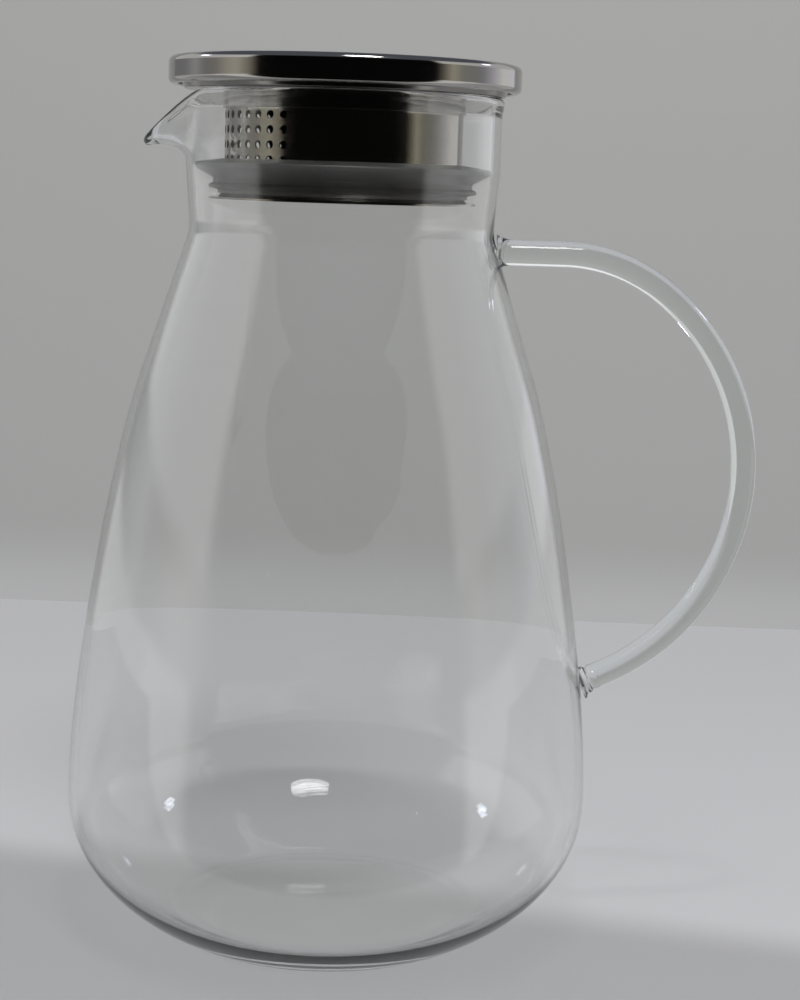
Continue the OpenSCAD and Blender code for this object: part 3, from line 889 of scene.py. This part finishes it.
# %%
# Measures and tools of the stage
wall_y = 0.382
wall_turn = math.radians(3.8)
wall_top = 0.5
wall_w = 0.34
stage_w = 3.0
table_front = -0.1
table_side = 0.9
table_z = -0.1 * MM
wall_foot = 0.04
shade_across = (0.29, 1, 0)
shade_start, shade_end = 0.004, 0.034
uneven_shade = 0.985
print("wall:", wall_y, "m behind the jug's axis, table:", 2 * stage_w, "m wide")


def stage_plane(name, corners, material):
    """A rectangle that isn't part of the object."""
    mesh = bpy.data.meshes.new(name)
    mesh.from_pydata(corners, [], [(0, 1, 2, 3)])
    piece = bpy.data.objects.new(name, mesh)
    bpy.context.collection.objects.link(piece)
    dress(piece, material)
    return piece


def plain_material(name, colour, roughness, gloss):
    """A stage surface with a barely uneven tone."""
    material, tree, out, shell, spot = new_material(name)
    link = tree.links.new
    shell.inputs["Roughness"].default_value = roughness
    shell.inputs["Specular IOR Level"].default_value = gloss
    uneven = place(tree, "ShaderNodeGroup", (-600, 0), node_tree=cloud_tree)
    uneven.inputs["Scale"].default_value = 9.0
    tone = place(tree, "ShaderNodeMix", (-200, 0), data_type="RGBA")
    tone.inputs[6].default_value = tuple(uneven_shade * c for c in colour[:3]) + (1,)
    tone.inputs[7].default_value = colour
    link(spot.outputs["Object"], uneven.inputs["Position"])
    link(uneven.outputs["Mask"], tone.inputs[0])
    link(tone.outputs[2], shell.inputs["Base Color"])
    link(shell.outputs["BSDF"], out.inputs["Surface"])
    return material, tree, out, shell, spot


def second_tone(tree, spot, shell, along, low, high, colour):
    """Fades the surface to another colour while the dot product of place and along rises."""
    dot = place(tree, "ShaderNodeVectorMath", (-600, 900), operation="DOT_PRODUCT")
    dot.inputs[1].default_value = along
    step = place(tree, "ShaderNodeMapRange", (-400, 900), interpolation_type="SMOOTHSTEP")
    step.inputs["From Min"].default_value = low
    step.inputs["From Max"].default_value = high
    fade = place(tree, "ShaderNodeMix", (-100, 900), data_type="RGBA")
    fade.inputs[7].default_value = colour
    before = shell.inputs["Base Color"].links[0].from_socket
    link = tree.links.new
    link(spot.outputs["Object"], dot.inputs[0])
    link(dot.outputs["Value"], step.inputs["Value"])
    link(step.outputs["Result"], fade.inputs[0])
    link(before, fade.inputs[6])
    link(fade.outputs[2], shell.inputs["Base Color"])


# %%
# The wall's and the table's materials
wall_grey, tree, out, shell, spot = plain_material("wall_grey", (0.59, 0.59, 0.59, 1), 0.9, 0.1)
second_tone(tree, spot, shell, (0, 0, 1), 0, wall_foot, (0.475, 0.475, 0.465, 1))
table_grey, tree, out, shell, spot = plain_material("table_grey", (0.4, 0.4, 0.41, 1), 0.4, 0.4)
second_tone(tree, spot, shell, shade_across, shade_start, shade_end, (0.565, 0.565, 0.585, 1))
link = tree.links.new
sides = place(tree, "ShaderNodeSeparateXYZ", (-600, 400))
outward = place(tree, "ShaderNodeMath", (-500, 250), operation="ABSOLUTE")
beside = place(tree, "ShaderNodeMath", (-400, 250), operation="GREATER_THAN")
beside.inputs[1].default_value = table_side
either = place(tree, "ShaderNodeMath", (-300, 300), operation="MAXIMUM")
ahead = place(tree, "ShaderNodeMath", (-400, 400), operation="LESS_THAN")
ahead.inputs[1].default_value = table_front
path = place(tree, "ShaderNodeLightPath", (-400, 700))
both = place(tree, "ShaderNodeMath", (-200, 400), operation="MULTIPLY")
clear = place(tree, "ShaderNodeBsdfTransparent", (200, 300))
mix = place(tree, "ShaderNodeMixShader", (500, 0))
link(spot.outputs["Object"], sides.inputs["Vector"])
link(sides.outputs["Y"], ahead.inputs[0])
link(sides.outputs["X"], outward.inputs[0])
link(outward.outputs["Value"], beside.inputs[0])
link(ahead.outputs["Value"], either.inputs[0])
link(beside.outputs["Value"], either.inputs[1])
link(either.outputs["Value"], both.inputs[0])
link(path.outputs["Is Glossy Ray"], both.inputs[1])
link(both.outputs["Value"], mix.inputs["Fac"])
link(shell.outputs["BSDF"], mix.inputs[1])
link(clear.outputs["BSDF"], mix.inputs[2])
link(mix.outputs["Shader"], out.inputs["Surface"])
print("stage materials:", wall_grey.name, table_grey.name)

# %%
# The table and the backdrop
lean = math.tan(wall_turn)
stage_plane("table", [(-stage_w, -stage_w, table_z), (stage_w, -stage_w, table_z),
                      (stage_w, wall_y - lean * stage_w, table_z),
                      (-stage_w, wall_y + lean * stage_w, table_z)], table_grey)
wall_right, wall_left = wall_y - lean * wall_w, wall_y + lean * wall_w
backdrop = stage_plane("backdrop", [(-wall_w, wall_left, table_z), (wall_w, wall_right, table_z),
                                    (wall_w, wall_right, wall_top),
                                    (-wall_w, wall_left, wall_top)], wall_grey)
backdrop.visible_diffuse = False
print("backdrop:", 2 * wall_w, "m wide and", wall_top, "m high")

# %% [markdown]
# ## Light
# Two softboxes hang above and in front, and give the jug's shadow. Reflections show only the
# round one, as the bright spot on the heel, and two small windows at the sides, as cool spots.
# The rest comes from the room: dark in front, with bright side panels that begin at a sharp
# edge, a band of its own near the horizon, which the lid's upright faces mirror, and a dim
# upper part.

# %%
# The lamps
def softbox(name, spot, width, depth, power, colour=(1, 1, 1), shape="RECTANGLE"):
    """An area light at spot that faces the jug's lower part."""
    light = bpy.data.lights.new(name, "AREA")
    light.shape = shape
    light.size, light.size_y = width, depth
    light.energy = power
    light.color = colour
    lamp = bpy.data.objects.new(name, light)
    lamp.location = spot
    aim = Vector(lamp_target) - Vector(spot)
    lamp.rotation_euler = aim.to_track_quat("-Z", "Y").to_euler()
    bpy.context.collection.objects.link(lamp)
    return lamp


lamp_target = (0, 0, 0.05)
cool = (0.8, 0.86, 1.0)
ceiling_light = softbox("ceiling_light", (0.02, -0.25, 1.0), 0.12, 0.03, 2.0)
ceiling_light.visible_glossy = False
softbox("front_box", (0.12, -0.48, 0.9), 0.27, 0.24, 2.4, shape="ELLIPSE")
softbox("left_window", (-0.74, 0.22, 0.57), 0.1, 0.06, 0.3, cool)
softbox("right_window", (0.74, 0.22, 0.57), 0.1, 0.06, 0.3, cool)

# %%
# The room by direction
world = bpy.data.worlds.new("studio")
bpy.context.scene.world = world
world.use_nodes = True
sky = world.node_tree
air = sky.nodes["Background"]
link = sky.links.new
dark = (0.004, 0.004, 0.004)
upper_stops = ((-180, (0.65, 0.65, 0.67)), (-90, (0.85, 0.85, 0.86)), (-66, (1.0, 1.0, 0.98)),
               (-60, dark), (59, dark), (65, (0.9, 0.9, 0.88)), (90, (0.8, 0.8, 0.82)),
               (180, (0.65, 0.65, 0.67)))
lower_stops = ((-180, (0.4, 0.4, 0.43)), (-140, (0.25, 0.25, 0.26)), (-125, (0.3, 0.3, 0.32)),
               (-112, (0.48, 0.48, 0.49)), (-101, (0.288, 0.288, 0.288)),
               (-91, (0.32, 0.304, 0.288)), (-82, (0.496, 0.48, 0.416)),
               (-74, (0.608, 0.576, 0.496)), (-64, (0.32, 0.288, 0.24)), (-57, dark),
               (60, dark), (65, (0.176, 0.16, 0.128)), (72, (0.544, 0.512, 0.416)),
               (80, (0.35, 0.34, 0.3)), (90, (0.32, 0.32, 0.32)), (99, (0.36, 0.36, 0.39)),
               (110, (0.672, 0.656, 0.736)), (122, (1.0, 1.0, 1.0)), (140, (0.88, 0.88, 0.96)),
               (180, (0.48, 0.48, 0.512)))
floor_stops = ((-180, (0.5, 0.5, 0.5)), (-96, (0.7, 0.7, 0.7)), (-90, (1.0, 1.0, 1.0)),
               (-67, (1.0, 1.0, 0.98)), (-61, dark), (60, dark), (65, (1.0, 1.0, 0.98)),
               (90, (1.0, 1.0, 1.0)), (96, (0.7, 0.7, 0.7)), (180, (0.5, 0.5, 0.5)))
overhead = (0.14, 0.15, 0.18)
floor_edge = (-0.05, -0.02)
horizon_edge = (0.07, 0.12)
upper_edge = (0.45, 0.6)
print("stops:", len(floor_stops), len(lower_stops), len(upper_stops))


def ramp(stops, driver):
    """A colour ramp over the azimuth from its stops (degrees, colour)."""
    node = place(sky, "ShaderNodeValToRGB")
    row = node.color_ramp.elements
    while len(row) < len(stops):
        row.new(1.0)
    for stop, (angle, colour) in zip(row, stops):
        stop.position = angle / 360 + 0.5
        stop.color = (*colour, 1)
    link(driver, node.inputs["Fac"])
    return node.outputs["Color"]


def rise(driver, low, high):
    """A smooth step from 0 to 1 while the driver goes from low to high."""
    node = place(sky, "ShaderNodeMapRange", interpolation_type="SMOOTHSTEP")
    node.inputs["From Min"].default_value = low
    node.inputs["From Max"].default_value = high
    link(driver, node.inputs["Value"])
    return node.outputs["Result"]


def blend(share, a, b):
    """A mix of two colours, each an output or a plain colour."""
    node = place(sky, "ShaderNodeMix", data_type="RGBA")
    link(share, node.inputs[0])
    for socket, colour in ((node.inputs[6], a), (node.inputs[7], b)):
        if isinstance(colour, tuple):
            socket.default_value = (*colour, 1)
        else:
            link(colour, socket)
    return node.outputs[2]


# %%
# The room's nodes
way_in = place(sky, "ShaderNodeTexCoord")
parts = place(sky, "ShaderNodeSeparateXYZ")
back = place(sky, "ShaderNodeMath", operation="MULTIPLY")
back.inputs[1].default_value = -1
turn = place(sky, "ShaderNodeMath", operation="ARCTAN2")
share = place(sky, "ShaderNodeMapRange")
share.inputs["From Min"].default_value = -math.pi
share.inputs["From Max"].default_value = math.pi
link(way_in.outputs["Generated"], parts.inputs["Vector"])
link(parts.outputs["Y"], back.inputs[0])
link(parts.outputs["X"], turn.inputs[0])
link(back.outputs[0], turn.inputs[1])
link(turn.outputs[0], share.inputs["Value"])
azimuth, climb_z = share.outputs["Result"], parts.outputs["Z"]
above_floor = blend(rise(climb_z, *horizon_edge), ramp(lower_stops, azimuth),
                    ramp(upper_stops, azimuth))
sides_of_room = blend(rise(climb_z, *floor_edge), ramp(floor_stops, azimuth), above_floor)
room = blend(rise(climb_z, *upper_edge), sides_of_room, overhead)
print("room:", len(sky.nodes), "nodes")

# %% [markdown]
# What a ray meets in the room depends on how it got there. A ray that looks straight out, also
# through clear glass, meets a plain grey that gets paler above. One that mirrors off steel or
# glass meets the room with its dark and bright parts. One that was scattered by the table or
# the wall meets a soft even light, which stands for all that the picture doesn't show.

# %%
# Three kinds of ray
pale = (0.6, 0.6, 0.6)
pale_above = (0.95, 0.95, 0.97)
even_light = (0.6, 0.6, 0.6)
pale_edge = (0.35, 0.7)


def below_half(value):
    """1 where a count of bounces is still 0, and 0 from the first one on."""
    node = place(sky, "ShaderNodeMath", operation="LESS_THAN")
    node.inputs[1].default_value = 0.5
    link(value, node.inputs[0])
    return node.outputs[0]


def join(operation, a, b):
    """Two node values joined by this operation."""
    node = place(sky, "ShaderNodeMath", operation=operation)
    link(a, node.inputs[0])
    link(b, node.inputs[1])
    return node.outputs[0]


path = place(sky, "ShaderNodeLightPath")
straight = join("MAXIMUM", path.outputs["Is Camera Ray"], path.outputs["Is Transmission Ray"])
straight = join("MULTIPLY", straight, below_half(path.outputs["Glossy Depth"]))
met = blend(straight, room, blend(rise(climb_z, *pale_edge), pale, pale_above))
met = blend(below_half(path.outputs["Diffuse Depth"]), even_light, met)
link(met, air.inputs["Color"])
air.inputs["Strength"].default_value = 1.0
world.cycles.sampling_method = "NONE"
print("world:", world.name, "with", len(sky.nodes), "nodes")

# %% [markdown]
# ## Camera
# The camera stands half a metre away with a long lens, at the height of the neck, tipped down
# and rolled by nearly two degrees. Its place and angles were fitted to the photograph's outline.

# %%
# Camera at the photograph's angle
cam_far = 528.8 * MM
cam_high = 202.6 * MM
cam_pitch = math.radians(9.3)
cam_yaw = math.radians(1.9)
cam_roll = math.radians(1.83)
focal_px = 2000
image_h = 1000
sensor_mm = 36

look = Vector((math.sin(cam_yaw) * math.cos(cam_pitch), math.cos(cam_yaw) * math.cos(cam_pitch),
               -math.sin(cam_pitch)))
right = look.cross(Vector((0, 0, 1))).normalized()
up = right.cross(look)
right, up = (math.cos(cam_roll) * right + math.sin(cam_roll) * up,
             -math.sin(cam_roll) * right + math.cos(cam_roll) * up)
camera_data = bpy.data.cameras.new("camera")
camera_data.sensor_width = sensor_mm
camera_data.lens = focal_px / image_h * sensor_mm
camera = bpy.data.objects.new("camera", camera_data)
camera.matrix_world = Matrix((
    (right[0], up[0], -look[0], 0), (right[1], up[1], -look[1], -cam_far),
    (right[2], up[2], -look[2], cam_high), (0, 0, 0, 1)))
bpy.context.collection.objects.link(camera)
bpy.context.scene.camera = camera
bpy.context.scene.view_settings.view_transform = "Standard"
print("camera:", camera_data.lens, "mm lens,", cam_far, "m away")
